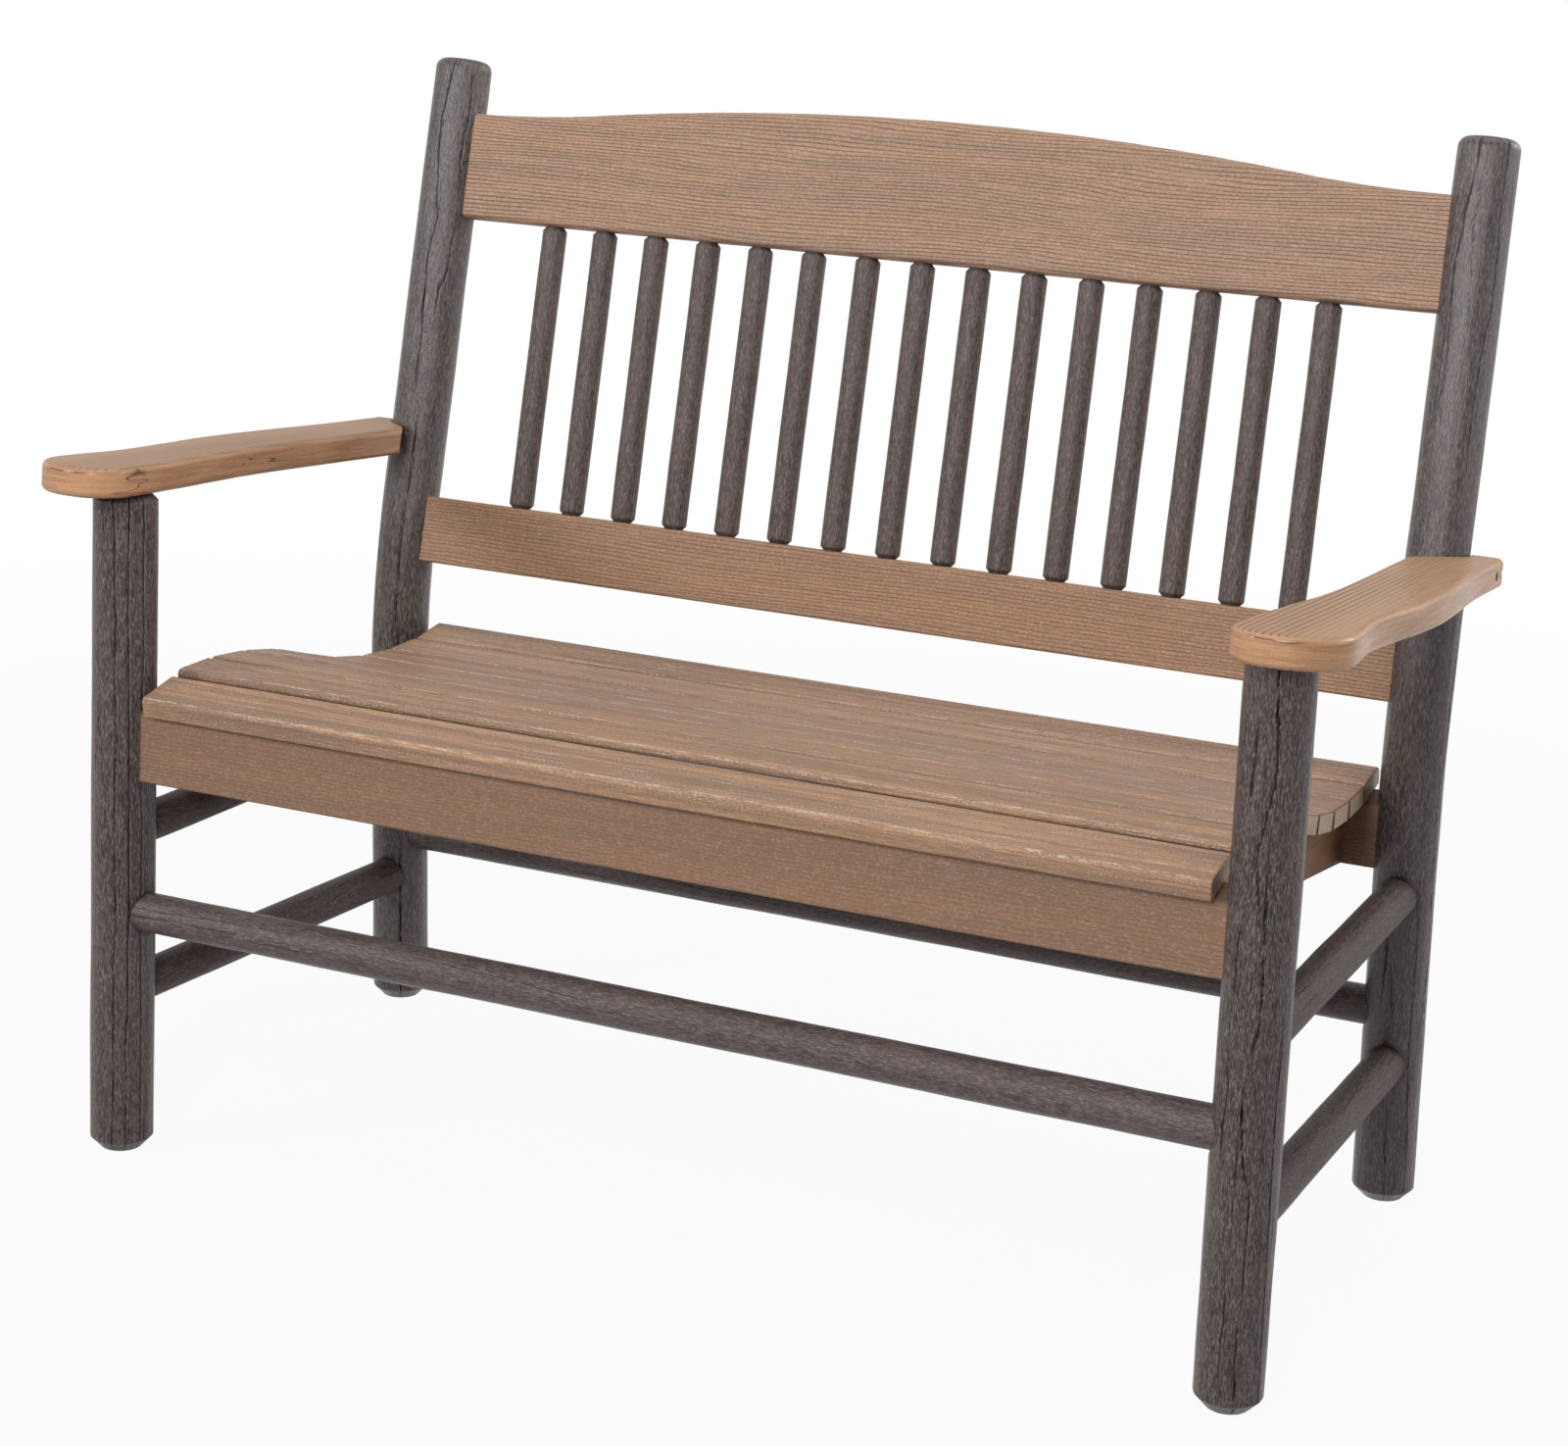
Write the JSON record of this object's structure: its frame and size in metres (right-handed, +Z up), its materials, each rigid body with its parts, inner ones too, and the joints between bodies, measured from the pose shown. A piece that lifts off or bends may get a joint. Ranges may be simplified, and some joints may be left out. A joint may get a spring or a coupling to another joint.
{
  "type": "park bench",
  "caption": "Outdoor park bench with arms: round log-style posts and rungs, contoured slatted seat, spindle back under an arched crest rail, paddle-shaped armrests.",
  "frame": {"origin": "middle of the bench's overall box, on the floor", "axes": "+X along the bench to the sitter's left, +Y from the seat's front to its back, +Z up"},
  "size_m": [1.239, 0.6869, 1.0134],
  "materials": {
    "dark_log": "recycled-plastic round log, grey-brown with moulded lengthwise cracks",
    "cedar_board": "recycled-plastic board, cedar brown with embossed wavy grain",
    "cedar_seat": "recycled-plastic seat slat, cedar brown with lengthwise streaks",
    "cedar_arm": "recycled-plastic arm board, cedar brown, satin, with straight grain",
    "screw": "coated steel wood screw"
  },
  "bodies": {
    "root": {"front_post_left": "dark_log", "rear_post_left": "dark_log", "front_post_right": "dark_log", "rear_post_right": "dark_log", "front_stretcher": "dark_log", "rear_stretcher": "dark_log", "side_stretcher_upper_left": "dark_log", "side_stretcher_upper_right": "dark_log", "side_stretcher_lower_left": "dark_log", "side_stretcher_lower_right": "dark_log", "front_apron": "cedar_board", "rear_apron": "cedar_board", "seat_support_left": "cedar_board", "seat_support_centre": "cedar_board", "seat_support_right": "cedar_board", "seat_slat_01": "cedar_seat", "seat_slat_02": "cedar_seat", "seat_slat_03": "cedar_seat", "seat_slat_04": "cedar_seat", "seat_slat_05": "cedar_seat", "seat_slat_06": "cedar_seat", "seat_slat_07": "cedar_seat", "seat_slat_08": "cedar_seat", "seat_slat_09": "cedar_seat", "seat_slat_10": "cedar_seat", "lower_back_rail": "cedar_board", "crest_rail": "cedar_board", "back_spindle_01": "dark_log", "back_spindle_02": "dark_log", "back_spindle_03": "dark_log", "back_spindle_04": "dark_log", "back_spindle_05": "dark_log", "back_spindle_06": "dark_log", "back_spindle_07": "dark_log", "back_spindle_08": "dark_log", "back_spindle_09": "dark_log", "back_spindle_10": "dark_log", "back_spindle_11": "dark_log", "back_spindle_12": "dark_log", "back_spindle_13": "dark_log", "back_spindle_14": "dark_log", "back_spindle_15": "dark_log", "arm_left": "cedar_arm", "arm_right": "cedar_arm", "arm_screw_left_front": "screw", "arm_screw_left_rear": "screw", "arm_screw_right_front": "screw", "arm_screw_right_rear": "screw"}
  },
  "joints": []
}
